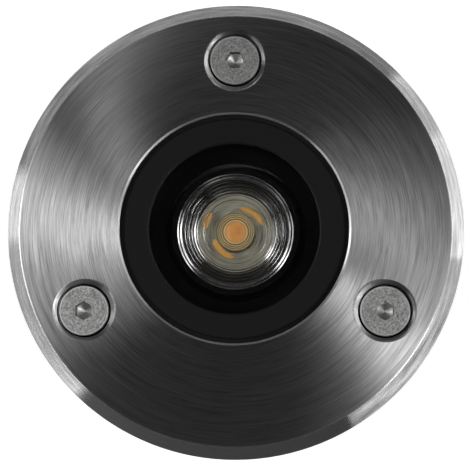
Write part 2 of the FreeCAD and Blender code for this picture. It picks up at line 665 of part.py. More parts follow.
def turntable_bearing():
    keep(washer("slip_washer", f"{PLATE_BORE} + slip_inset", f"{TURN} - slip_margin",
                PLATE_TOP, f"{PLATE_TOP} + slip_thick"))
    ring = turned("keeper_ring", [
        (KEEPER_WALL, PLATE_TOP),
        (PLATE, PLATE_TOP),
        (PLATE, KEEPER_TOP),
        (KEEPER_BORE, KEEPER_TOP),
        (KEEPER_BORE, KEEPER_LIP),
        (KEEPER_WALL, KEEPER_LIP),
    ])
    circle = f"({KEEPER_WALL} + {PLATE}) / 2"
    drill(ring, "screw_holes", polar(circle, OTHER_ANGLES), "small_screw", KEEPER_TOP, PLATE_TOP)
    drill(ring, "lock_hole", polar(LOCK_CIRCLE, ["0"]), "small_screw", KEEPER_TOP, KEEPER_LIP)
    keep(ring)
    form = pan_screw("keeper_screw_form", "small_screw", "small_head", "small_rise", KEEPER_TOP, PLATE_UNDER)
    ring_of("keeper_screws", form, circle, OTHER_ANGLES)
    lock = pan_screw("lock_screw_form", "small_screw", "lock_head", "lock_rise", f"{KEEPER_TOP} + lock_stand",
                     f"{TURN_TOP} + lock_play")
    copies("pan_lock_screw", lock, [(LOCK_CIRCLE, "0", "0")])


def turntable():
    body = washer("turntable", TURN_BORE, TURN, TURN_UNDER, TURN_TOP)
    ear = rectangle("-ear_half_width", "ear_half_width", TURN_UNDER, EAR_TOP)
    ear_places = [("right", EAR_REACH), ("left", f"-{EAR_REACH} - ear_thick")]
    for side, level in ear_places:
        pad(body, outline(body, f"{side}_ear", "YZ_Plane", ear, level), "ear_thick")
    for side, level in ear_places:
        outside = f"{level} + ear_thick"
        hole = circles(body, f"{side}_pivot", "YZ_Plane", [("0", PIVOT)], "pivot_radius + run_gap", outside)
        pocket(body, hole, "ear_thick")
    screws = [(f"{EAR_REACH} + ear_thick / 2", "0"), (f"-{EAR_REACH} - ear_thick / 2", "0")]
    drill(body, "baffle_holes", screws, "baffle_screw", EAR_TOP, f"{EAR_TOP} - baffle_hold")
    keep(body)
    baffle_top = f"{EAR_TOP} + baffle_thick"
    baffle = washer("inner_baffle", BAFFLE_BORE, DRIVER, EAR_TOP, baffle_top)
    drill(baffle, "screw_holes", screws, "baffle_screw + seat_play", baffle_top, EAR_TOP)
    keep(baffle)
    form = pan_screw("baffle_screw_form", "baffle_screw", "baffle_head", "baffle_rise", baffle_top,
                     f"{EAR_TOP} - baffle_hold + seat_play")
    copies("baffle_screws", form, [(x, y, "0") for x, y in screws])


def tilt_pivots():
    """A shoulder screw and a washer on each side, on the tilt axis along X."""
    seat = f"({EAR_REACH} + ear_thick + run_gap)"
    screw = new_body("pivot_screw_form")
    shank_start = f"({BOSS_REACH} - pivot_hold)"
    shank = circles(screw, "shank", "YZ_Plane", [("0", PIVOT)], "pivot_radius", shank_start)
    pad(screw, shank, f"{seat} - {shank_start}")
    pad(screw, circles(screw, "head", "YZ_Plane", [("0", PIVOT)], "pivot_head", seat), "pivot_rise")
    socket = [(x, f"{PIVOT} + {y}") for x, y in hexagon("pivot_socket")]
    pocket(screw, outline(screw, "socket", "YZ_Plane", socket, f"{seat} + pivot_rise"), "pivot_socket_depth")
    both = [("0", "0", "0"), ("0", "0", "180")]
    copies("pivot_screws", screw, both)
    disc = new_body("pivot_washer_form")
    rim = circles(disc, "disc", "YZ_Plane", [("0", PIVOT)], "cup_boss_radius - washer_thick", BOSS_REACH)
    pad(disc, rim, "washer_thick")
    hole = circles(disc, "hole", "YZ_Plane", [("0", PIVOT)], "pivot_radius", f"{BOSS_REACH} + washer_thick")
    pocket(disc, hole, "washer_thick")
    copies("pivot_washers", disc, both)


def lamp_screw_holes(body, radius, top, bottom):
    drill(body, "screw_holes", polar("lamp_screw_circle", LAMP_SCREW_ANGLES), radius, top, bottom)


def lamp_cup():
    body = turned("lamp_cup", [
        ("lead_bore", CUP_UNDER),
        ("lead_bore", CUP_FLOOR),
        (CUP_BORE, CUP_FLOOR),
        (CUP_BORE, LENS_SEAT),
        (CUP_SEAT, LENS_SEAT),
        (CUP_SEAT, f"{LENS_SEAT} + cup_lip"),
        (CUP, f"{LENS_SEAT} + cup_lip"),
        (CUP, CUP_UNDER),
    ])
    boss_start = f"({CUP_BORE} + boss_root)"
    boss_length = f"{BOSS_REACH} - {boss_start}"
    for side, level in (("right", boss_start), ("left", f"-{BOSS_REACH}")):
        boss = circles(body, f"{side}_boss", "YZ_Plane", [("0", PIVOT)], "cup_boss_radius", level)
        pad(body, boss, boss_length)
    for side, level in (("right", BOSS_REACH), ("left", f"-{BOSS_REACH} + pivot_hold")):
        hole = circles(body, f"{side}_hole", "YZ_Plane", [("0", PIVOT)], "pivot_radius", level)
        pocket(body, hole, "pivot_hold")
    lamp_screw_holes(body, "small_screw + small_play", CUP_FLOOR, CUP_UNDER)
    return keep(body)


def lens():
    return keep(turned("lens", [
        ("0", f"{LENS_TOP} - window_sink + window_crown"),
        ("lens_window", f"{LENS_TOP} - window_sink"),
        ("lens_window + window_slope", f"{LENS_TOP} - step_sink"),
        ("lens_radius - ridge_inset", f"{LENS_TOP} - ridge_sink"),
        ("lens_radius - ridge_inset + ridge_width", f"{LENS_TOP} - ridge_sink"),
        ("lens_radius - groove_inset", f"{LENS_TOP} - groove_sink"),
        ("lens_radius - groove_inset + groove_floor", f"{LENS_TOP} - groove_sink"),
        ("lens_radius - lens_rim", LENS_TOP),
        ("lens_radius - edge_break", LENS_TOP),
        ("lens_radius", f"{LENS_TOP} - edge_break"),
        ("lens_radius", LENS_SEAT),
        ("lens_radius - cone_inset", LENS_SEAT),
        ("lens_foot", BOARD_TOP),
        ("lens_pocket + pocket_flare", BOARD_TOP),
        ("lens_pocket + pocket_lip", f"{BOARD_TOP} + package_thick + pocket_clear"),
        ("lens_pocket", f"{BOARD_TOP} + pocket_wall"),
        ("lens_pocket / 2", f"{BOARD_TOP} + pocket_shoulder"),
        ("0", f"{BOARD_TOP} + pocket_roof"),
    ]))


def light_source():
    board = keep(washer("led_board", "0", f"{CUP_BORE} - 2 * seat_play", CUP_FLOOR, BOARD_TOP))
    lamp_screw_holes(board, "small_screw + small_play", BOARD_TOP, CUP_FLOOR)
    package = keep(new_body("led_package"))
    half = "package_diagonal / 2 / sqrt(2)"
    square = rectangle(f"-{half}", half, f"-{half}", half)
    pad(package, outline(package, "base", "XY_Plane", square, BOARD_TOP), "package_thick")
    keep(turned("led_phosphor", [
        ("0", f"{BOARD_TOP} + package_thick"),
        ("phosphor_radius", f"{BOARD_TOP} + package_thick"),
        ("phosphor_radius - edge_break", f"{BOARD_TOP} + package_thick + phosphor_rise - edge_break"),
        ("0", f"{BOARD_TOP} + package_thick + phosphor_rise"),
    ]))
    form = pan_screw("lamp_screw_form", "small_screw", "small_head", "lamp_screw_rise", BOARD_TOP,
                     f"{SINK_TOP} - sink_plate + small_end")
    ring_of("lamp_screws", form, "lamp_screw_circle", LAMP_SCREW_ANGLES)


def heat_sink():
    pad_body = keep(washer("thermal_pad", "lead_bore", f"{SINK} - pad_inset", SINK_TOP, CUP_UNDER))
    lamp_screw_holes(pad_body, "small_screw + small_play", CUP_UNDER, SINK_TOP)
    points = [("lead_bore", f"{SINK_TOP} - sink_height"), ("lead_bore", SINK_TOP), (SINK, SINK_TOP),
              (SINK, f"{SINK_TOP} - sink_plate"), ("sink_core", f"{SINK_TOP} - sink_plate")]
    pitch = f"(sink_height - sink_plate) / {FIN_COUNT}"
    for k in range(1, FIN_COUNT + 1):
        fin_under = f"({SINK_TOP} - sink_plate - {k} * {pitch})"
        fin_top = f"({fin_under} + sink_fin)"
        points += [("sink_core", fin_top), (SINK, fin_top), (SINK, fin_under)]
        if k < FIN_COUNT:
            points.append(("sink_core", fin_under))
    body = keep(turned("heat_sink", points))
    lamp_screw_holes(body, "small_screw", SINK_TOP, f"{SINK_TOP} - sink_plate")


def lamp_leads():
    """Two leads on the pan axis, from the driver's socket up through the heat sink."""
    form = washer("lead_form", "0", "lead_radius", f"{SOCKET_TOP} + run_gap", f"{CUP_FLOOR} - run_gap")
    copies("lamp_leads", form, [("0", "lead_side", "0"), ("0", "-lead_side", "0")])
    keep(washer("lead_socket", "0", "socket_radius", DRIVER_TOP, SOCKET_TOP))


def driver():
    board = keep(washer("driver_board", "0", DRIVER, DRIVER_UNDER, DRIVER_TOP))
    places = polar(STANDOFF_CIRCLE, THREE_ANGLES)
    drill(board, "screw_holes", places, "pivot_radius + seat_play", DRIVER_TOP, DRIVER_UNDER)
    form = new_body("standoff_form")
    pad(form, outline(form, "hexagon", "XY_Plane", hexagon("standoff_flats"), DRIVER_TOP), "standoff_length")
    post(form, "stud", [("0", "0")], "pivot_radius", PLATE_UNDER, f"{PLATE_TOP} - edge_break")
    drill(form, "thread", [("0", "0")], "pivot_radius", f"{DRIVER_TOP} + standoff_thread", DRIVER_TOP)
    ring_of("driver_standoffs", form, STANDOFF_CIRCLE, THREE_ANGLES)
    screw = pan_screw("driver_screw_form", "pivot_radius", "pivot_head", "driver_screw_rise", DRIVER_UNDER,
                      f"{DRIVER_TOP} + driver_screw", up=False)
    ring_of("driver_screws", screw, STANDOFF_CIRCLE, THREE_ANGLES)


def under_board(depth):
    return f"({DRIVER_UNDER} - {depth})"


def driver_coil():
    end = under_board("inductor_height")
    form = turned("inductor_form", [
        ("0", end),
        ("inductor_radius", end),
        ("inductor_radius", f"{end} + inductor_flange"),
        ("inductor_radius - winding_depth", f"{end} + inductor_flange"),
        ("inductor_radius - winding_depth", under_board("inductor_flange")),
        ("inductor_radius", under_board("inductor_flange")),
        ("inductor_radius", DRIVER_UNDER),
        ("0", DRIVER_UNDER),
    ])
    copies("driver_inductor", form, [("inductor_x", "inductor_y", "0")])


def driver_cans():
    end = under_board("capacitor_height")
    form = turned("capacitor_form", [
        ("0", end),
        ("capacitor_radius - 2 * edge_break", end),
        ("capacitor_radius", f"{end} + 2.5 * edge_break"),
        ("capacitor_radius", under_board("(capacitor_bead + 2 * edge_break)")),
        ("capacitor_radius - 1.5 * edge_break", under_board("capacitor_bead")),
        ("capacitor_radius", under_board("(capacitor_bead - 2 * edge_break)")),
        ("capacitor_radius", DRIVER_UNDER),
        ("0", DRIVER_UNDER),
    ])
    places = [(f"{which}_capacitor_x", f"{which}_capacitor_y", "0") for which in ("first", "second")]
    copies("driver_capacitors", form, places)


def driver_block(label, size):
    """A moulded block under the driver board: the sheet holds its place and size."""
    block = keep(new_body(label))
    x, y, long, wide, deep = (f"{size}_{measure}" for measure in ("x", "y", "long", "wide", "deep"))
    base = rectangle(f"{x} - {long} / 2", f"{x} + {long} / 2", f"{y} - {wide} / 2", f"{y} + {wide} / 2")
    pad(block, outline(block, "base", "XY_Plane", base, under_board(deep)), deep)
    return block


def driver_blocks():
    driver_block("driver_chip", "chip")
    block = driver_block("terminal_block", "block")
    ways = [("block_x - block_pitch / 2", "block_y"), ("block_x + block_pitch / 2", "block_y")]
    end = under_board("block_deep")
    drill(block, "screw_wells", ways, "block_well", f"{end} + block_well_depth", end)


def base_cap():
    spigot = f"({INNER} - spigot_play)"
    skirt = f"({BARREL} - skirt_wall)"
    groove_top = f"({HOUSING_UNDER} + spigot_rise / 2 + groove_width / 2)"
    groove_under = f"({groove_top} - groove_width)"
    body = turned("base_cap", [
        ("gland_radius", CAP_UNDER),
        ("gland_radius", HOUSING_UNDER),
        (f"{spigot} - spigot_wall", HOUSING_UNDER),
        (f"{spigot} - spigot_wall", SPIGOT_TOP),
        (spigot, SPIGOT_TOP),
        (spigot, groove_top),
        (f"{spigot} - groove_depth", groove_top),
        (f"{spigot} - groove_depth", groove_under),
        (spigot, groove_under),
        (spigot, HOUSING_UNDER),
        (BARREL, HOUSING_UNDER),
        (BARREL, FOOT),
        (skirt, FOOT),
        (skirt, CAP_UNDER),
    ])
    places = polar(CAP_CIRCLE, THREE_ANGLES)
    post(body, "pillars", places, "pillar_radius", f"{HOUSING_UNDER} - pillar_root", LUG_UNDER)
    drill(body, "screw_holes", places, "cap_screw + hole_play", LUG_UNDER, CAP_UNDER)
    drill(body, "vent_hole", [("0", "-vent_offset")], "vent_radius", HOUSING_UNDER, CAP_UNDER)
    half = "notch_width / 2"
    reach = f"{BARREL} + skirt_wall"
    for name, span in (("notch_x", rectangle(f"-({reach})", reach, f"-{half}", half)),
                       ("notch_y", rectangle(f"-{half}", half, f"-({reach})", reach))):
        pocket(body, outline(body, name, "XY_Plane", span, f"{FOOT} + notch_height"), "notch_height")
    keep(body)
    seal = "((groove_depth + spigot_play) / 2 - o_ring_play)"
    ring = keep(doc.addObject("Part::Torus", "cap_o_ring"))
    ring.Label = "cap_o_ring"
    ring.setExpression("Radius1", bound(f"{INNER} - (groove_depth + spigot_play) / 2"))
    ring.setExpression("Radius2", bound(seal))
    ring.setExpression("Placement.Base.z", bound(f"({groove_top} + {groove_under}) / 2"))
    form = pan_screw("cap_screw_form", "cap_screw", "cap_screw_head", "cap_screw_rise", CAP_UNDER,
                     f"{LUG_UNDER} + cap_screw_hold", up=False)
    ring_of("cap_screws", form, CAP_CIRCLE, THREE_ANGLES)


def cable_gland():
    keep(washer("gland_washer", "gland_radius", "gland_flats / 2", GLAND_SEAT, CAP_UNDER))
    body = keep(turned("gland_body", [
        ("gland_bore", f"{CAP_UNDER} + gland_rise"),
        ("gland_radius", f"{CAP_UNDER} + gland_rise"),
        ("gland_radius", GLAND_END),
        ("seal_radius", GLAND_END),
        ("seal_radius", SEAL_TOP),
        ("gland_bore", SEAL_TOP),
    ]))
    flange = outline(body, "hexagon", "XY_Plane", hexagon("gland_flats"), GLAND_NECK)
    pad(body, flange, "gland_flange")
    pocket(body, circles(body, "bore", "XY_Plane", [("0", "0")], "gland_bore", GLAND_SEAT), "gland_flange")
    nut = keep(new_body("gland_lock_nut"))
    pad(nut, outline(nut, "hexagon", "XY_Plane", hexagon("gland_flats"), HOUSING_UNDER), "lock_nut")
    drill(nut, "thread", [("0", "0")], "gland_radius", f"{HOUSING_UNDER} + lock_nut", HOUSING_UNDER)
    keep(washer("gland_seal", "cable_radius", "seal_radius", SEAL_UNDER, SEAL_TOP))
    dome = keep(new_body("gland_nut"))
    dome_top = f"({GLAND_NECK} - gland_slot)"
    dome_under = f"({SEAL_UNDER} - dome_floor)"
    flats = outline(dome, "hexagon", "XY_Plane", hexagon("gland_flats"), dome_under)
    pad(dome, flats, f"{dome_top} - {dome_under}")
    drill(dome, "thread", [("0", "0")], "gland_radius", dome_top, GLAND_END)
    drill(dome, "seal_well", [("0", "0")], "seal_radius", GLAND_END, SEAL_UNDER)
    drill(dome, "mouth", [("0", "0")], "cable_radius + mouth_play", SEAL_UNDER, dome_under)


def breather():
    seat = f"({CAP_UNDER} - vent_seal)"
    thread_end = f"({HOUSING_UNDER} + vent_stand)"
    place = [("0", "-vent_offset", "0")]
    seal = washer("vent_seal_form", "vent_radius", "vent_flats / 2", seat, CAP_UNDER)
    copies("vent_seal", seal, place)
    plug = new_body("vent_plug_form")
    pad(plug, outline(plug, "hexagon", "XY_Plane", hexagon("vent_flats"), f"{seat} - vent_rise"), "vent_rise")
    post(plug, "thread", [("0", "0")], "vent_radius", seat, thread_end)
    drill(plug, "breather_hole", [("0", "0")], "vent_bore", thread_end, f"{seat} - vent_rise")
    copies("vent_plug", plug, place)


def check(node):
    shape = node.Shape
    if shape.isNull() or not shape.isValid():
        raise RuntimeError(f"{node.Label} has no valid shape")


def check_document():
    for item in doc.Objects:
        if "Invalid" in item.State or "Error" in item.State:
            raise RuntimeError(f"{item.Name} failed: {item.State}")
        adds = item.TypeId == "PartDesign::Pad"
        cuts = item.TypeId in ("PartDesign::Pocket", "PartDesign::Groove")
        if (adds or cuts) and item.BaseFeature:
            gain = item.Shape.Volume - item.BaseFeature.Shape.Volume
            if (gain > 0) != adds or abs(gain) < LEAST_CHANGE:
                raise RuntimeError(f"{item.Name} changed the volume by {gain}")


fill_sheet()
trim_ring()
trim_screws()
boss_inserts()
glass_stack()
housing()
bearing_plate()
turntable_bearing()
turntable()
tilt_pivots()
lamp_cup()
lens()
light_source()
heat_sink()
lamp_leads()
driver()
driver_coil()
driver_cans()
driver_blocks()
base_cap()
cable_gland()
breather()
doc.recompute()
check_document()
os.makedirs("parts", exist_ok=True)
for subpart in subparts:
    check(subpart)
    subpart.Shape.exportStep(f"parts/{subpart.Label}.step")
print(len(subparts), "sub-parts")
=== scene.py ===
import json
import math

import bpy
from mathutils import Matrix, Vector


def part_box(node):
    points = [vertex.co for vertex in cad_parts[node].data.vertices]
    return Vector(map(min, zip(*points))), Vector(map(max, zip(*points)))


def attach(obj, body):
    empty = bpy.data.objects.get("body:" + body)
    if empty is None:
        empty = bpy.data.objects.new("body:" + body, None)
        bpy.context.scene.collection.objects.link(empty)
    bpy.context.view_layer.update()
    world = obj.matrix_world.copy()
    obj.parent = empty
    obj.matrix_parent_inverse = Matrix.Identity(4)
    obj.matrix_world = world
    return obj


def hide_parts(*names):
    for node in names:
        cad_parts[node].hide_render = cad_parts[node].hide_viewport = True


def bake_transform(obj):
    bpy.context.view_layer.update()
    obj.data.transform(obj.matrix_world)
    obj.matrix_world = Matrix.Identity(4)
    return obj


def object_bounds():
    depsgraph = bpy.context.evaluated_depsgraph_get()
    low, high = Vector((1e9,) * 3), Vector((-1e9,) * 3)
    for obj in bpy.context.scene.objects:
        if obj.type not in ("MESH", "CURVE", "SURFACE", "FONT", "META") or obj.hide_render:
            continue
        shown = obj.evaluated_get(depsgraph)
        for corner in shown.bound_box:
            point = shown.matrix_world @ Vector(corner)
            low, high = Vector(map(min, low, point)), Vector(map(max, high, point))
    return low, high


# An in ground well light, seen from above. The frame, the camera and the lamps are
# in metres, and the sizes of the finishes and the detailed pieces in millimetres.
# Angles are in degrees. The origin is on the light's axis at ground level, +Z up.

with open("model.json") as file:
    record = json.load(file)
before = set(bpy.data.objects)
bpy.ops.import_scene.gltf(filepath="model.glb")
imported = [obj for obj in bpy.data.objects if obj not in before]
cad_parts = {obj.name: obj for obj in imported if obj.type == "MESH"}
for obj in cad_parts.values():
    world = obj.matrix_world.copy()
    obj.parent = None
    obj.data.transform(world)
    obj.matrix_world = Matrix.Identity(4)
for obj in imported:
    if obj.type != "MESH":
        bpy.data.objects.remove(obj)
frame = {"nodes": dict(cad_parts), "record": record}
nodes = frame["nodes"]
cad_box = [list(corner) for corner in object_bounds()]

MM = 0.001
UP = (0.0, 0.0, 1.0)
LEVEL = (1.0, 1.0, 0.0)

# The lens's outer radius and the height of its top.
lens_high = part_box("lens")[1]
lens_radius = lens_high[0] / MM
lens_top = lens_high[2] / MM

# Meshes: steps in a full turn, round a ridge, along an arc and a lead, and round a
# lead, and the least angle of a sharp edge.
TURN_STEPS = 180
BEAD_STEPS = 6
ARC_STEPS = 24
LEAD_STEPS = 40
LEAD_SIDES = 16
SHARP_ANGLE = 40

# The photograph's width in pixels, and the camera that took it.
IMAGE_WIDTH = 471
CAMERA_AZIMUTH = 23.4
CAMERA_ELEVATION = 83.86
CAMERA_ROLL = 0.2
CAMERA_DISTANCE = 0.35
FOCAL_PIXELS = 1448.8
AXIS_LEFT_OF_CENTRE = 0.8
AXIS_ABOVE_CENTRE = 4.3
SENSOR_WIDTH = 36.0
NEAREST_SEEN = 0.01
FURTHEST_SEEN = 20

# Softboxes: direction, elevation, width, height, and how bright each one alone
# makes a level white surface.
SOFTBOX_DISTANCE = 0.8
SOFTBOXES = {
    "left": (173, 54, 0.14, 0.6, 0.11),
    "right": (336, 54, 0.14, 0.6, 0.135),
    "left_strip": (182, 58, 0.45, 0.08, 0.035),
    "right_strip": (357, 58, 0.5, 0.08, 0.021),
    "far_strip": (74, 58, 0.9, 0.08, 0.013),
    "near_strip": (262, 58, 1.1, 0.08, 0.005),
    "left_low": (190, 19, 0.9, 0.12, 0.06),
    "left_glint": (166, 19, 0.25, 0.12, 0.035),
    "right_glint": (13, 19, 0.45, 0.12, 0.03),
    "right_low": (356, 19, 2.0, 0.12, 0.09),
}
# The world is white up to the first elevation and dark from the second, as sines.
HORIZON_TOP = 0.04
CEILING_START = 0.18
CEILING = 0.012
FLOOR_SIDE = 4.0
FLOOR_GREY = 0.85
FLOOR_GLOW = 0.75

# The face: its inner and outer radius, the lip of the opening, and the ridge where
# the chamfer starts.
FACE_INSIDE = 27.5
FACE_OUTSIDE = 52.0
# A painted highlight lies inside LIP_RADIUS and within RIDGE_WIDTH of BEVEL_RADIUS.
LIP_RADIUS = 27.95
BEVEL_RADIUS = 51.8
RIDGE_WIDTH = 0.16
# The slope of the brushing against a circle, from the face's inside to its outside,
# and its spread.
SWIRL = (0.04, -0.25)
SWIRL_SPREAD = 0.08

# The trim screws and their wells.
SCREW_CIRCLE = 41.0
SCREW_ANGLES = (90, 208.7, 331.3)
# The bevel inside WELL_EDGE carries painted light.
WELL_EDGE = 7.45
WELL_RADIUS = 6.55
# Painted shade fills the gap inside GAP_EDGE; a painted highlight lies on the head's rim from HEAD_RIM to
# WELL_RADIUS.
GAP_EDGE = 6.35
HEAD_RIM = 5.6
HEAD_TOP = 2.95
# Painted shade fills the socket inside SOCKET_RADIUS, and painted light its floor under SOCKET_FLOOR.
SOCKET_RADIUS = 2.4
SOCKET_FLOOR = 0.5
SOCKET_MARGIN = 0.05

# The lens's shell. Depths here and below are measured from the lens's top.
HOLLOW_DEPTH = 1.5
HOLLOW_RADIUS = 4.9
HOLLOW_EDGE_DEPTH = 1.75
LENS_WALL = 0.5
TREAD_GAP = 0.03
RISER = 0.01
# Its ridges: radius, depth of their foot, half width, rise.
LENS_BEADS = (
    (7.4, 1.75, 0.12, 0.08),
    (8.1, 1.75, 0.15, 0.1),
    (9.0, 1.75, 0.15, 0.12),
    (10.3, 1.6, 0.14, 0.16),
    (11.0, 1.4, 0.14, 0.15),
    (11.8, 1.1, 0.14, 0.15),
)
# Its flange, a small gap outside the shell.
RIM_INSIDE = 12.7
RIM_GAP = 0.02
RIM_DEPTH = 0.6
RIM_BEVEL = 0.1
RIM_BOTTOM = 1.5
# Bright rings that stand for its facets: inner radius, depth, width, look.
FACETS = (
    (7.75, 1.7, 0.1, "faint_facet"),
    (9.35, 1.65, 0.22, "faint_facet"),
    (9.85, 1.6, 0.3, "bright_facet"),
    (10.6, 1.45, 0.16, "faint_facet"),
    (11.35, 1.2, 0.16, "faint_facet"),
    (12.25, 0.9, 0.14, "faint_facet"),
    (13.15, 0.5, 0.38, "bright_facet"),
    (13.9, 0.5, 0.3, "bright_facet"),
)
FACET_SLOPE = 0.27
FACET_THICKNESS = 0.25

# How far pieces that touch reach into each other.
TOUCH = 0.02
# The black cone round the lens: radius and depth of its outline.
HOLDER_BORE = 9.7
HOLDER_OUTLINE = (
    (13.41, 1.6),
    (13.41, 2.4),
    (HOLDER_BORE + 0.4, 5.6),
    (HOLDER_BORE, 5.6),
    (HOLDER_BORE, 5.2),
    (12.9, 1.9),
    (12.9, 1.6),
)
# The stepped bowl: its steps, with the run and the drop of their risers, the hole
# over the light source, and its thickness there and at its rim.
BOWL_DEPTH = 5.3
BOWL_LEDGE = 0.3
BOWL_STEPS = 5
BOWL_PITCH = 0.7
BOWL_DROP = 0.35
BOWL_RISER_RUN = 0.12
BOWL_RISER_DROP = 0.2
BOWL_HOLE = 4.8
BOWL_LIP = 0.1
BOWL_THICKNESS = 0.8
BOWL_RIM_DEPTH = 5.9

# What the lens shows of the light source. Its core is a disc, flat and then rounded.
CORE_RADIUS = 2.5
CORE_EDGE = 2.45
CORE_FLAT = 1.6
CORE_ROUNDING = 0.2
CORE_HEIGHT = 0.7
# The rings round it: radius and half width.
CORE_RIM = (2.8, 0.25)
GOLD_RINGS = ((3.44, 0.17), (3.94, 0.15), (4.42, 0.14))
DARK_RINGS = ((3.16, 0.1), (3.7, 0.07), (4.19, 0.06), (4.64, 0.07))
RING_RISE = 0.25
RING_FOOT = 0.3
# The arcs, amber bars that stand as a painted reflection of the light source in the lens: start, end, radius
# at each, width at each.
AMBER_ARCS = (
    (16, 78, 6.75, 5.85, 1.5, 1.15),
    (200, 267, 5.5, 6.2, 1.7, 1.25),
    (141, 173, 7.7, 7.6, 1.5, 1.6),
)
ARC_RISE = 0.3
ARC_TIP = 0.15
ARC_BLUNTNESS = 6


def direction(angle, elevation):
    """Unit vector at an angle from +X towards +Y, and at an elevation."""
    a = math.radians(angle)
    e = math.radians(elevation)
    return Vector((math.cos(a) * math.cos(e), math.sin(a) * math.cos(e), math.sin(e)))


def facing(back, up):
    """Rotation whose Z axis points along back, with Y towards up."""
    side = up.cross(back).normalized()
    return Matrix((side, back.cross(side), back)).transposed().to_quaternion()


def make_camera():
    """The camera looks at the origin, almost straight down. Its shift frames the photograph."""
    data = bpy.data.cameras.new("camera")
    camera = bpy.data.objects.new("camera", data)
    bpy.context.scene.collection.objects.link(camera)
    back = direction(CAMERA_AZIMUTH - 90, CAMERA_ELEVATION)
    camera.location = back * CAMERA_DISTANCE
    camera.rotation_mode = "QUATERNION"
    roll = math.radians(CAMERA_ROLL)
    camera.rotation_quaternion = facing(back, Vector((-math.sin(roll), math.cos(roll), 0)))
    data.sensor_width = SENSOR_WIDTH
    data.lens = SENSOR_WIDTH * FOCAL_PIXELS / IMAGE_WIDTH
    data.shift_x = AXIS_LEFT_OF_CENTRE / IMAGE_WIDTH
    data.shift_y = -AXIS_ABOVE_CENTRE / IMAGE_WIDTH
    data.clip_start = NEAREST_SEEN
    data.clip_end = FURTHEST_SEEN
    bpy.context.scene.camera = camera


def make_softbox(name, angle, elevation, wide, high, light):
    """A lamp that faces the origin, strong enough to make a level white surface there as bright as light."""
    data = bpy.data.lights.new(f"softbox_{name}", "AREA")
    data.shape = "RECTANGLE"
    data.size = wide
    data.size_y = high
    data.energy = light * math.pi ** 2 * SOFTBOX_DISTANCE ** 2 / math.sin(math.radians(elevation))
    lamp = bpy.data.objects.new(data.name, data)
    bpy.context.scene.collection.objects.link(lamp)
    back = direction(angle, elevation)
    lamp.location = back * SOFTBOX_DISTANCE
    lamp.rotation_mode = "QUATERNION"
    lamp.rotation_quaternion = facing(back, Vector(UP))
    lamp.visible_camera = False


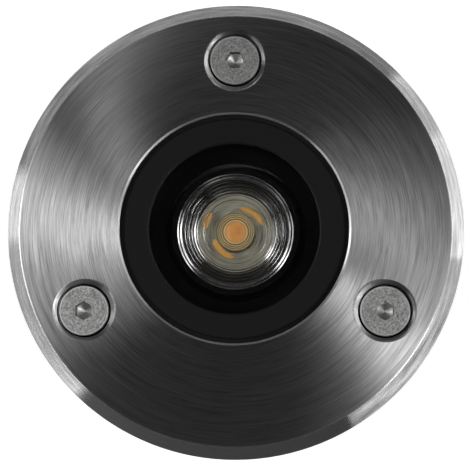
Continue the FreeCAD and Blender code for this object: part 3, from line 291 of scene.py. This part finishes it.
class Surface:
    """A material with one Principled shader, and the nodes that feed it."""

    def __init__(self, name, colour, roughness, metallic=0.0, **values):
        self.material = bpy.data.materials.new(name)
        self.material.use_nodes = True
        self.tree = self.material.node_tree
        self.shader = self.tree.nodes["Principled BSDF"]
        self.colour = (*colour, 1.0)
        self.set("Base Color", self.colour)
        self.set("Roughness", roughness)
        self.set("Metallic", metallic)
        for socket, value in values.items():
            self.set(socket.replace("_", " "), value)
        place = self.add("ShaderNodeTexCoord")
        self.place = self.maths("VECTOR_SCALE", place.outputs["Object"], 1 / MM)

    def set(self, socket, value):
        """Gives one of the shader's sockets a value."""
        self.shader.inputs[socket].default_value = value

    def feed(self, socket, source):
        """Links one of the shader's sockets to a node's output."""
        self.tree.links.new(source, self.shader.inputs[socket])

    def add(self, kind, **settings):
        """A new node."""
        node = self.tree.nodes.new(kind)
        for name, value in settings.items():
            setattr(node, name, value)
        return node

    def plug(self, value, socket):
        """Puts a value or a node's output into a socket."""
        if isinstance(value, bpy.types.NodeSocket):
            self.tree.links.new(value, socket)
        else:
            socket.default_value = value

    def maths(self, operation, *values):
        """One sum. A name that starts with VECTOR_ works on vectors."""
        if operation.startswith("VECTOR_"):
            node = self.add("ShaderNodeVectorMath", operation=operation[7:])
        else:
            node = self.add("ShaderNodeMath", operation=operation)
        sockets = [s for s in node.inputs if s.enabled]
        if operation == "VECTOR_SCALE":
            sockets = [node.inputs["Vector"], node.inputs["Scale"]]
        for value, socket in zip(values, sockets):
            self.plug(value, socket)
        return node.outputs["Value" if operation in ("VECTOR_LENGTH", "VECTOR_DOT_PRODUCT") else 0]

    def plus(self, first, second):
        return self.maths("ADD", first, second)

    def times(self, first, second):
        return self.maths("MULTIPLY", first, second)

    def below(self, value, limit):
        """1 where the value is under the limit, else 0."""
        return self.maths("LESS_THAN", value, limit)

    def above(self, value, limit):
        """1 where the value is over the limit, else 0."""
        return self.maths("GREATER_THAN", value, limit)

    def noise(self, scale, detail=2.0, roughness=0.5, place=None):
        """Noise from 0 to 1, with scale features per millimetre, or per unit of another place."""
        node = self.add("ShaderNodeTexNoise")
        self.plug(place or self.place, node.inputs["Vector"])
        self.plug(scale, node.inputs["Scale"])
        self.plug(detail, node.inputs["Detail"])
        self.plug(roughness, node.inputs["Roughness"])
        return node.outputs["Fac"]

    def span(self, source, low, high, to_low=0.0, to_high=1.0):
        """Goes from to_low to to_high as source goes from low to high, and stays within them."""
        node = self.add("ShaderNodeMapRange")
        for value, name in ((source, "Value"), (low, "From Min"), (high, "From Max"),
                            (to_low, "To Min"), (to_high, "To Max")):
            self.plug(value, node.inputs[name])
        return node.outputs["Result"]

    def mix(self, data_type, kind, factor, first, second):
        """A mix node of one data type, whose sockets are named after its kind."""
        node = self.add("ShaderNodeMix", data_type=data_type)
        for value, name in ((factor, "Factor_Float"), (first, f"A_{kind}"), (second, f"B_{kind}")):
            self.plug(value, [s for s in node.inputs if s.identifier == name][0])
        return [s for s in node.outputs if s.identifier == f"Result_{kind}"][0]

    def blend(self, factor, first, second):
        """A colour, from the first to the second."""
        return self.mix("RGBA", "Color", factor, first, second)

    def pick(self, factor, first, second):
        """A vector, from the first to the second."""
        return self.mix("VECTOR", "Vector", factor, first, second)

    def tone(self, amount):
        """The surface's own colour, darker or lighter."""
        return tuple(min(1.0, c * amount) for c in self.colour[:3]) + (1.0,)

    def shade(self, source, dark, light):
        """The surface's colour, from dark times to light times as source goes from 0 to 1."""
        self.feed("Base Color", self.blend(source, self.tone(dark), self.tone(light)))

    def rough(self, source, low, high):
        """The surface's roughness, from low to high as source goes from 0 to 1."""
        self.feed("Roughness", self.span(source, 0.0, 1.0, low, high))

    def bump(self, height, depth, strength):
        """A bump whose height of 1 is depth millimetres."""
        node = self.add("ShaderNodeBump")
        node.inputs["Distance"].default_value = depth * MM
        node.inputs["Strength"].default_value = strength
        self.plug(height, node.inputs["Height"])
        self.feed("Normal", node.outputs["Normal"])

    def height(self):
        """Height over the ground in millimetres."""
        return self.maths("VECTOR_DOT_PRODUCT", self.place, UP)

    def polar(self):
        """Unit direction from the axis, and the distance from it in millimetres."""
        flat = self.maths("VECTOR_MULTIPLY", self.place, LEVEL)
        return self.maths("VECTOR_NORMALIZE", flat), self.maths("VECTOR_LENGTH", flat)

    def drawn_out(self, way, around, reach):
        """A place for noise drawn out round an axis: way is the direction from it, around counts
        features per radian, and reach grows with the distance from it."""
        upright = self.add("ShaderNodeCombineXYZ")
        self.plug(reach, upright.inputs["Z"])
        return self.maths("VECTOR_ADD", self.maths("VECTOR_SCALE", way, around), upright.outputs[0])

    def rings(self, around, across):
        """A place for noise drawn out round the light's axis: around counts features per radian,
        across counts them per millimetre of radius and of height."""
        way, radius = self.polar()
        return self.drawn_out(way, around, self.times(self.plus(radius, self.height()), across))

    def round_the_axis(self, outward):
        """The direction round the axis, from the direction away from it."""
        return self.maths("VECTOR_CROSS_PRODUCT", UP, outward)

    def nearest_screw(self):
        """Unit direction from the nearest trim screw's axis, and the distance from it in millimetres."""
        flat = self.maths("VECTOR_MULTIPLY", self.place, LEVEL)
        nearest = flat
        for angle in SCREW_ANGLES:
            centre = direction(angle, 0) * SCREW_CIRCLE
            offset = self.maths("VECTOR_SUBTRACT", flat, tuple(centre))
            near = self.below(self.maths("VECTOR_LENGTH", offset), 2 * WELL_EDGE)
            nearest = self.pick(near, nearest, offset)
        return self.maths("VECTOR_NORMALIZE", nearest), self.maths("VECTOR_LENGTH", nearest)

    def clear_where(self, factor):
        """Makes the surface clear where the factor is 1."""
        clear = self.add("ShaderNodeBsdfTransparent")
        mixed = self.add("ShaderNodeMixShader")
        self.plug(factor, mixed.inputs[0])
        self.plug(self.shader.outputs[0], mixed.inputs[1])
        self.plug(clear.outputs[0], mixed.inputs[2])
        self.plug(mixed.outputs[0], self.tree.nodes["Material Output"].inputs["Surface"])

    def lets_lamps_through(self):
        """Glass that casts no dark shadow."""
        self.clear_where(self.add("ShaderNodeLightPath").outputs["Is Shadow Ray"])


def well_painted_light(steel, offset):
    """The turned bevel of a screw's well, in painted light: a painted highlight on its -X side, darker
    painted shade towards +X.
    """
    across = steel.add("ShaderNodeSeparateXYZ")
    steel.plug(offset, across.inputs[0])
    lit = steel.span(across.outputs["X"], low=-0.9, high=0.4, to_low=1.0, to_high=0.15)
    specks = steel.span(steel.noise(scale=1.5, detail=3.0), low=0.3, high=0.7, to_low=0.75, to_high=1.0)
    return steel.blend(steel.times(lit, specks), steel.tone(0.3), steel.tone(1.9))


def brushed_stainless():
    """Circular brushing whose arcs turn inward a little, with turned wells round the screws. Painted light
    on the wells' bevels, painted highlights on the lip and the chamfer's ridge, and painted shade in the
    gaps round the screw heads.
    """
    steel = Surface("brushed_stainless", (0.45, 0.45, 0.45), roughness=0.36, metallic=1.0, Anisotropic=0.97)
    outward, radius = steel.polar()
    offset, distance = steel.nearest_screw()
    in_well = steel.below(distance, WELL_EDGE)
    painted_gap_shade = steel.below(distance, GAP_EDGE)

    fine = steel.noise(scale=1.0, detail=4.0, roughness=0.7, place=steel.rings(around=4.0, across=4.0))
    broad = steel.noise(scale=1.0, detail=2.0, roughness=0.5, place=steel.rings(around=2.0, across=1.0))
    streaks = steel.plus(steel.times(fine, 0.75), steel.times(broad, 0.25))
    streaks = steel.span(streaks, low=0.34, high=0.66)

    swirl = steel.span(radius, FACE_INSIDE, FACE_OUTSIDE, *SWIRL)
    swirl = steel.plus(swirl, steel.span(fine, 0.0, 1.0, -SWIRL_SPREAD, SWIRL_SPREAD))
    turn = steel.maths("VECTOR_SCALE", steel.round_the_axis(outward), swirl)
    brushing = steel.maths("VECTOR_SUBTRACT", outward, turn)
    steel.feed("Tangent", steel.pick(in_well, brushing, offset))

    metal = steel.blend(streaks, steel.tone(0.55), steel.tone(1.35))
    # Painted light on each well's bevel.
    metal = steel.blend(in_well, metal, well_painted_light(steel, offset))
    # Painted highlight: a lighter band on the lip of the opening and along the chamfer's ridge.
    off_ridge = steel.maths("ABSOLUTE", steel.maths("SUBTRACT", radius, BEVEL_RADIUS))
    painted_edge_highlight = steel.maths("MAXIMUM", steel.below(radius, LIP_RADIUS), steel.below(off_ridge, RIDGE_WIDTH))
    metal = steel.blend(painted_edge_highlight, metal, steel.tone(1.8))
    # Painted shade: black in the gap round each screw head.
    black = (0.004, 0.004, 0.004, 1.0)
    steel.feed("Base Color", steel.blend(painted_gap_shade, metal, black))

    face_roughness = steel.span(streaks, 0.0, 1.0, to_low=0.39, to_high=0.33)
    smoother = steel.times(steel.above(radius, BEVEL_RADIUS), 0.2)
    steel.feed("Roughness", steel.maths("SUBTRACT", face_roughness, smoother))
    steel.bump(fine, depth=0.01, strength=0.4)
    return steel.material


def screw_steel():
    """Mottled satin steel. The trim screws have a painted highlight on their edge, and painted shade in
    their sockets with painted light on the socket floor.
    """
    steel = Surface("screw_steel", (0.75, 0.75, 0.74), roughness=0.45, metallic=1.0)
    offset, distance = steel.nearest_screw()
    turning = steel.drawn_out(offset, around=3.0, reach=steel.times(distance, 3.0))
    blotches = steel.span(steel.noise(scale=2.2, detail=4.0, roughness=0.75), low=0.38, high=0.62)
    lines = steel.span(steel.noise(scale=1.0, place=turning), low=0.35, high=0.65)
    mottle = steel.plus(steel.times(blotches, 0.65), steel.times(lines, 0.35))

    # Painted highlight: the head's rim at the lightest tone.
    painted_rim_highlight = steel.times(steel.above(distance, HEAD_RIM), steel.below(distance, WELL_RADIUS))
    mottle = steel.maths("MAXIMUM", steel.times(mottle, 0.8), painted_rim_highlight)
    height = steel.height()
    # Painted shade in the hex socket, and painted light on its floor.
    under_face = steel.below(height, HEAD_TOP - SOCKET_MARGIN)
    painted_socket_shade = steel.times(steel.below(distance, SOCKET_RADIUS), under_face)
    painted_socket_light = steel.times(painted_socket_shade, steel.below(height, SOCKET_FLOOR))
    mottle = steel.maths("MAXIMUM", steel.maths("SUBTRACT", mottle, painted_socket_shade), painted_socket_light)

    steel.shade(mottle, dark=0.28, light=1.33)
    steel.rough(mottle, low=0.5, high=0.4)
    steel.bump(mottle, depth=0.02, strength=0.5)
    return steel.material


def black_anodised():
    """Matt black with fine turning lines."""
    black = Surface("black_anodised", (0.009, 0.009, 0.01), roughness=0.5, Specular_IOR_Level=0.22)
    lines = black.noise(scale=1.0, place=black.rings(around=2.0, across=8.0))
    black.shade(lines, dark=0.8, light=1.2)
    black.rough(lines, low=0.5, high=0.62)
    black.bump(lines, depth=0.006, strength=0.4)
    return black.material


def holder_black():
    """The glossier black of the cone round the lens."""
    black = Surface("holder_black", (0.004, 0.004, 0.0042), roughness=0.3, Specular_IOR_Level=0.4)
    lines = black.noise(scale=1.0, place=black.rings(around=2.0, across=4.0))
    black.shade(lines, dark=0.8, light=1.2)
    return black.material


def painted_cavity_shade():
    """Painted shade: the deep black round the lens, darker than the parts' own black finish."""
    black = Surface("painted_cavity_shade", (0.0012, 0.0012, 0.0013), roughness=0.75, Specular_IOR_Level=0.08)
    black.bump(black.noise(scale=5.0, detail=3.0), depth=0.02, strength=0.5)
    black.shade(black.noise(scale=0.5, detail=3.0), dark=0.8, light=1.2)
    return black.material


def clear_glass():
    """The pane, very slightly smeared."""
    glass = Surface("clear_glass", (1.0, 1.0, 1.0), roughness=0.02, Transmission_Weight=1.0, IOR=1.5)
    glass.rough(glass.noise(scale=0.15, detail=3.0), low=0.0, high=0.03)
    glass.lets_lamps_through()
    return glass.material


def clear_lens():
    """The lens's shell, with stronger reflections than glass has."""
    lens = Surface("clear_lens", (0.97, 0.98, 0.96), roughness=0.0, Transmission_Weight=1.0, IOR=1.75)
    lens.rough(lens.noise(scale=0.6), low=0.0, high=0.01)
    lens.lets_lamps_through()
    return lens.material


def moulded_rim():
    """Clear moulding with a slightly milky edge."""
    rim = Surface("moulded_rim", (0.9, 0.92, 0.9), roughness=0.05, Transmission_Weight=0.97, IOR=1.6)
    lines = rim.noise(scale=1.0, place=rim.rings(around=2.0, across=4.0))
    rim.rough(lines, low=0.02, high=0.1)
    rim.lets_lamps_through()
    return rim.material


def lens_bowl():
    """The grey-green steps under the lens."""
    bowl = Surface("lens_bowl", (0.6, 0.58, 0.48), roughness=0.35)
    bands = bowl.noise(scale=1.0, detail=3.0, roughness=0.6, place=bowl.rings(around=1.5, across=2.5))
    bowl.shade(bowl.span(bands, low=0.3, high=0.7), dark=0.5, light=1.45)
    return bowl.material


def lens_facet(name, brightness):
    """A mirror-like ring, broken into short glints."""
    facet = Surface(name, (brightness, brightness, brightness), roughness=0.15, metallic=1.0)
    glints = facet.noise(scale=1.0, detail=3.0, roughness=0.6, place=facet.rings(around=6.0, across=1.5))
    facet.shade(glints, dark=0.2, light=1.8)
    return facet.material


def speckled(name, colour, roughness, grain, dark, light):
    """A small part of the light source, in one colour with specks."""
    surface = Surface(name, colour, roughness)
    surface.shade(surface.noise(grain, detail=3.0), dark, light)
    return surface.material


def plain(name, colour, roughness, metallic=0.0, grain=4.0, depth=0.01):
    """A cast, moulded or plated surface: fine grain, with a slow change of colour and roughness."""
    surface = Surface(name, colour, roughness, metallic)
    slow = surface.noise(grain / 12, detail=3.0)
    surface.shade(slow, dark=0.88, light=1.12)
    surface.rough(slow, roughness * 1.12, roughness * 0.88)
    surface.bump(surface.noise(grain, detail=3.0), depth, strength=0.5)
    return surface.material


LOOKS = (brushed_stainless, screw_steel, black_anodised, holder_black, painted_cavity_shade, clear_glass, clear_lens,
         moulded_rim, lens_bowl)
FACET_LOOKS = {"bright_facet": 0.55, "faint_facet": 0.28}
SPECKLED_LOOKS = {
    "amber_phosphor": dict(colour=(1.0, 0.44, 0.12), roughness=0.35, grain=1.5, dark=0.85, light=1.15),
    "bright_amber": dict(colour=(1.0, 0.5, 0.12), roughness=0.3, grain=2.0, dark=0.75, light=1.1),
    "bright_gold": dict(colour=(1.0, 0.76, 0.4), roughness=0.22, grain=1.0, dark=0.9, light=1.0),
    "gold_rings": dict(colour=(1.0, 0.74, 0.42), roughness=0.25, grain=1.0, dark=0.85, light=1.2),
    "ring_brown": dict(colour=(0.2, 0.12, 0.045), roughness=0.3, grain=1.0, dark=0.7, light=1.3),
}
PLAIN_LOOKS = {
    "black_silicone": dict(colour=(0.02, 0.02, 0.02), roughness=0.7),
    "cast_aluminium": dict(colour=(0.12, 0.124, 0.128), roughness=0.55, grain=3.0, depth=0.03),
    "zinc_steel": dict(colour=(0.6, 0.61, 0.63), roughness=0.35, metallic=1.0, grain=2.0),
    "white_ptfe": dict(colour=(0.8, 0.8, 0.78), roughness=0.4),
    "white_nylon": dict(colour=(0.75, 0.73, 0.68), roughness=0.5),
    "green_board": dict(colour=(0.01, 0.13, 0.05), roughness=0.35),
    "brass": dict(colour=(0.75, 0.55, 0.22), roughness=0.3, metallic=1.0),
    "ferrite": dict(colour=(0.06, 0.06, 0.065), roughness=0.6),
    "capacitor_sleeve": dict(colour=(0.02, 0.04, 0.12), roughness=0.35),
    "chip_plastic": dict(colour=(0.03, 0.03, 0.03), roughness=0.5),
    "terminal_plastic": dict(colour=(0.05, 0.25, 0.1), roughness=0.45),
    "black_polyamide": dict(colour=(0.025, 0.025, 0.027), roughness=0.5, depth=0.02),
    "nickel_brass": dict(colour=(0.66, 0.63, 0.58), roughness=0.28, metallic=1.0),
    "black_screw": dict(colour=(0.02, 0.02, 0.02), roughness=0.45),
    "lead_insulation": dict(colour=(0.45, 0.03, 0.02), roughness=0.45),
    "white_board": dict(colour=(0.8, 0.8, 0.78), roughness=0.35),
    "led_ceramic": dict(colour=(0.6, 0.45, 0.2), roughness=0.35),
    "grey_pad": dict(colour=(0.4, 0.42, 0.45), roughness=0.8),
    "bare_aluminium": dict(colour=(0.75, 0.75, 0.76), roughness=0.35, metallic=1.0),
}
# The nodes round the lens, of which only blackness is seen. They take painted shade in place of their own
# finish.
CAVITY_NODES = ("inner_baffle", "lamp_cup", "baffle_screws")


def make_looks():
    """Every material, by name."""
    made = {look.__name__: look() for look in LOOKS}
    made.update({name: lens_facet(name, brightness) for name, brightness in FACET_LOOKS.items()})
    made.update({name: speckled(name, **values) for name, values in SPECKLED_LOOKS.items()})
    made.update({name: plain(name, **values) for name, values in PLAIN_LOOKS.items()})
    return made


def dress_nodes():
    """Gives each CAD node the material of its slot; the nodes round the lens take painted shade instead."""
    slots = {part["node"]: part["material_slot"] for part in frame["record"]["subparts"]}
    for name, piece in nodes.items():
        look = "painted_cavity_shade" if name in CAVITY_NODES else slots[name]
        piece.data.materials.clear()
        piece.data.materials.append(looks[look])


def piece_of(name, vertices, faces, look, body="lamp"):
    """A new mesh in millimetres that rides on a body, if one is given."""
    mesh = bpy.data.meshes.new(name)
    mesh.from_pydata([tuple(c * MM for c in v) for v in vertices], [], faces)
    mesh.validate()
    mesh.shade_smooth()
    mesh.set_sharp_from_angle(angle=math.radians(SHARP_ANGLE))
    mesh.materials.append(looks[look])
    piece = bpy.data.objects.new(name, mesh)
    bpy.context.scene.collection.objects.link(piece)
    if body:
        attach(piece, body)
    return piece


def turned(name, outline, look):
    """A closed outline of radii and heights, turned about the axis.
    Drawn with the radius to the right, it runs clockwise."""
    angles = [math.radians(360.0 * k / TURN_STEPS) for k in range(TURN_STEPS)]
    vertices = []
    rings = []
    for radius, height in outline:
        first = len(vertices)
        if radius == 0.0:
            vertices.append((0.0, 0.0, height))
            rings.append([first] * TURN_STEPS)
        else:
            vertices += [(radius * math.cos(a), radius * math.sin(a), height) for a in angles]
            rings.append(list(range(first, first + TURN_STEPS)))
    faces = []
    for k, ring in enumerate(rings):
        other = rings[(k + 1) % len(rings)]
        for j in range(TURN_STEPS):
            n = (j + 1) % TURN_STEPS
            face = tuple(dict.fromkeys((ring[j], other[j], other[n], ring[n])))
            if len(face) > 2:
                faces.append(face)
    return piece_of(name, vertices, faces, look)


def tube_faces(first, sections, sides):
    """Faces of a closed tube whose sections, of some sides each, follow each other from vertex first."""
    faces = []
    for j in range(sections - 1):
        here = first + j * sides
        there = here + sides
        for i in range(sides):
            n = (i + 1) % sides
            faces.append((here + n, there + n, there + i, here + i))
    last = first + (sections - 1) * sides
    faces.append(tuple(range(first, first + sides))[::-1])
    faces.append(tuple(range(last, last + sides)))
    return faces


def bead(radius, base, half_width, rise):
    """Outline of a rounded ridge, from its inner foot to its outer one."""
    turns = [math.pi * (1 - k / BEAD_STEPS) for k in range(BEAD_STEPS + 1)]
    return [(radius + half_width * math.cos(t), base + rise * math.sin(t)) for t in turns]


def under_top(outline):
    """An outline of radii and heights, from radii and depths under the lens's top."""
    return [(radius, lens_top - depth) for radius, depth in outline]


def make_lens():
    """The lens's shell: a shallow hollow, with steps and thin ridges up to its flange."""
    outline = under_top([(0.0, HOLLOW_DEPTH), (HOLLOW_RADIUS, HOLLOW_EDGE_DEPTH)])
    under = [(radius, height - LENS_WALL) for radius, height in outline]
    for radius, depth, half_width, rise in LENS_BEADS:
        foot = radius - half_width - TREAD_GAP
        outline += [(foot, outline[-1][1])] + bead(radius, lens_top - depth, half_width, rise)
        under += [(foot, under[-1][1]), (foot + RISER, lens_top - depth - LENS_WALL)]
    outline += [(RIM_INSIDE, outline[-1][1]), (RIM_INSIDE, under[-1][1])]
    lens = turned("lens_optic", outline + under[::-1], "clear_lens")
    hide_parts("lens")


def make_lens_rim():
    """The lens's clear flange."""
    inside = RIM_INSIDE + RIM_GAP
    outline = [
        (inside, RIM_DEPTH),
        (lens_radius - RIM_BEVEL, RIM_DEPTH),
        (lens_radius, RIM_DEPTH + RIM_BEVEL),
        (lens_radius, RIM_BOTTOM),
        (inside, RIM_BOTTOM),
    ]
    turned("lens_rim", under_top(outline), "moulded_rim")


def make_facets():
    """Sloping mirror-like rings in the place of the lens's facets."""
    for k, (radius, depth, width, look) in enumerate(FACETS):
        outline = [
            (radius, depth - FACET_SLOPE * width),
            (radius + width, depth),
            (radius, depth + FACET_THICKNESS),
        ]
        turned(f"lens_facet_{k}", under_top(outline), look)


def make_lens_holder():
    """Black cone round the lens, open over the light source."""
    turned("lens_holder", under_top(HOLDER_OUTLINE), "holder_black")


def make_reflector():
    """Grey stepped bowl under the lens, over the board and its screws."""
    outline = [(HOLDER_BORE + TOUCH, BOWL_DEPTH)]
    for k in range(BOWL_STEPS):
        radius = HOLDER_BORE - BOWL_LEDGE - k * BOWL_PITCH
        depth = BOWL_DEPTH + k * BOWL_DROP
        outline += [(radius, depth), (radius - BOWL_RISER_RUN, depth + BOWL_RISER_DROP)]
    last_radius, last_depth = outline[-1]
    lip = last_depth + BOWL_LIP
    outline += [
        (BOWL_HOLE, lip),
        (BOWL_HOLE, lip + BOWL_THICKNESS),
        (last_radius, lip + BOWL_THICKNESS),
        (HOLDER_BORE + TOUCH, BOWL_RIM_DEPTH),
    ]
    turned("lens_reflector", under_top(outline[::-1]), "lens_bowl")


def shell_underside(radius):
    """Height at which a piece touches the underside of the lens's hollow and of the tread round it."""
    sink = (HOLLOW_EDGE_DEPTH - HOLLOW_DEPTH) * min(1.0, radius / HOLLOW_RADIUS)
    return lens_top - HOLLOW_DEPTH - LENS_WALL - sink + TOUCH


def make_core():
    """The disc of the light source, and its bright rim."""
    low = shell_underside(0) - CORE_HEIGHT
    disc = [
        (0.0, shell_underside(0)),
        (CORE_FLAT, shell_underside(CORE_FLAT)),
        (CORE_EDGE, shell_underside(CORE_EDGE) - CORE_ROUNDING),
        (CORE_RADIUS, low),
        (0.0, low),
    ]
    turned("lens_core", disc, "amber_phosphor")
    radius, half_width = CORE_RIM
    rim = bead(radius, shell_underside(radius) - RING_RISE, half_width, RING_RISE) + [(radius, low)]
    turned("lens_core_rim", rim, "bright_gold")


def make_rings(kind, rings, look):
    """Thin rounded rings under the lens's shell, each on a foot."""
    for k, (radius, half_width) in enumerate(rings):
        base = shell_underside(radius) - RING_RISE
        outline = bead(radius, base, half_width, RING_RISE) + [(radius, base - RING_FOOT)]
        turned(f"{kind}_{k}", outline, look)


def make_reflection_arc(name, start, end, start_radius, end_radius, start_width, end_width):
    """A rounded amber bar along an arc under the lens's shell, narrowed to round ends: a painted reflection
    of the light source.
    """
    height = shell_underside(HOLLOW_RADIUS) - ARC_RISE
    vertices = []
    for j in range(ARC_STEPS + 1):
        t = j / ARC_STEPS
        a = math.radians(start + (end - start) * t)
        radius = start_radius + (end_radius - start_radius) * t
        narrowing = max(ARC_TIP, 1 - abs(2 * t - 1) ** ARC_BLUNTNESS) ** 0.5
        width = (start_width + (end_width - start_width) * t) * narrowing
        section = bead(radius, height, width / 2, ARC_RISE) + [(radius, height - ARC_RISE)]
        vertices += [(r * math.cos(a), r * math.sin(a), z) for r, z in section]
    faces = tube_faces(0, ARC_STEPS + 1, len(section))
    piece_of(name, vertices, faces, "bright_amber")


def make_leads():
    """The two leads to the lamp, as two straight tubes in place of the CAD leads."""
    low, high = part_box("lamp_leads")
    radius = (high[0] - low[0]) / 2 / MM
    side = high[1] / MM - radius
    vertices = []
    faces = []
    for y in (-side, side):
        faces += tube_faces(len(vertices), LEAD_STEPS + 1, LEAD_SIDES)
        for j in range(LEAD_STEPS + 1):
            height = (low[2] + (high[2] - low[2]) * j / LEAD_STEPS) / MM
            for i in range(LEAD_SIDES):
                a = 2 * math.pi * i / LEAD_SIDES
                vertices.append((radius * math.cos(a), y + radius * math.sin(a), height))
    leads = piece_of("flexing_leads", vertices, faces, "lead_insulation", None)
    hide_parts("lamp_leads")
    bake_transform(leads)


def make_floor():
    """A pale floor that reads as white and keeps the shadow, and that can be seen through from beneath."""
    low = cad_box[0][2]
    corners = [(x * FLOOR_SIDE, y * FLOOR_SIDE, low) for x, y in ((-1, -1), (1, -1), (1, 1), (-1, 1))]
    data = bpy.data.meshes.new("floor")
    data.from_pydata(corners, [], [(0, 1, 2, 3)])
    floor = bpy.data.objects.new("floor", data)
    bpy.context.scene.collection.objects.link(floor)
    look = Surface("floor", (FLOOR_GREY, FLOOR_GREY, FLOOR_GREY), roughness=0.9)
    path = look.add("ShaderNodeLightPath")
    seen = look.maths("MAXIMUM", path.outputs["Is Camera Ray"], path.outputs["Is Glossy Ray"])
    seen = look.maths("MAXIMUM", seen, path.outputs["Is Transmission Ray"])
    look.set("Emission Color", (1.0, 1.0, 1.0, 1.0))
    look.feed("Emission Strength", look.times(seen, FLOOR_GLOW))
    look.clear_where(look.add("ShaderNodeNewGeometry").outputs["Backfacing"])
    data.materials.append(look.material)


def make_world():
    """White round the horizon and below, dark overhead, as in a studio with a black ceiling."""
    world = bpy.data.worlds.new("studio")
    bpy.context.scene.world = world
    world.use_nodes = True
    tree = world.node_tree
    place = tree.nodes.new("ShaderNodeTexCoord")
    split = tree.nodes.new("ShaderNodeSeparateXYZ")
    tree.links.new(place.outputs["Generated"], split.inputs[0])
    ramp = tree.nodes.new("ShaderNodeValToRGB")
    ramp.color_ramp.interpolation = "EASE"
    white, dark = ramp.color_ramp.elements
    white.position = HORIZON_TOP
    white.color = (1, 1, 1, 1)
    dark.position = CEILING_START
    dark.color = (CEILING, CEILING, CEILING, 1)
    tree.links.new(split.outputs["Z"], ramp.inputs[0])
    tree.links.new(ramp.outputs[0], tree.nodes["Background"].inputs["Color"])


bpy.context.scene.view_settings.view_transform = "Standard"
looks = make_looks()
make_camera()
for name, values in SOFTBOXES.items():
    make_softbox(name, *values)
make_world()
make_floor()
dress_nodes()
make_lens()
make_lens_rim()
make_facets()
make_lens_holder()
make_reflector()
make_core()
make_rings("gold_ring", GOLD_RINGS, "gold_rings")
make_rings("dark_ring", DARK_RINGS, "ring_brown")
# Amber arcs as painted reflections of the light source.
for k, values in enumerate(AMBER_ARCS):
    make_reflection_arc(f"amber_reflection_arc_{k}", *values)
make_leads()
